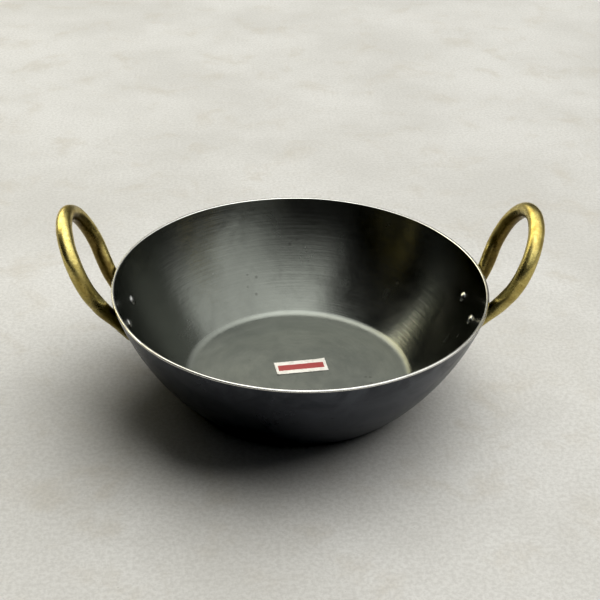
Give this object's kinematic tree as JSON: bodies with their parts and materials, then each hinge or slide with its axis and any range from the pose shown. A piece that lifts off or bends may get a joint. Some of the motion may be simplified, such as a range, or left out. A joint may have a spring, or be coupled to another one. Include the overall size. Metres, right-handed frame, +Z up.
{
  "type": "kadai",
  "caption": "Round flat-based iron kadai with a flared curved wall and upright brass loop handles riveted to its sides, for frying and stewing.",
  "frame": {"origin": "centre of the underside of the flat base", "axes": "+Z up, handles on +X and -X, front towards -Y"},
  "size_m": [0.3504, 0.2796, 0.1451],
  "materials": {
    "iron": "satin, dark grey, oiled",
    "brass": "aged satin",
    "rivet_steel": "dull steel"
  },
  "bodies": {
    "root": {"bowl": "iron", "handle_left": "brass", "handle_right": "brass", "rivet_left_front": "rivet_steel", "rivet_left_rear": "rivet_steel", "rivet_right_front": "rivet_steel", "rivet_right_rear": "rivet_steel"}
  },
  "joints": []
}
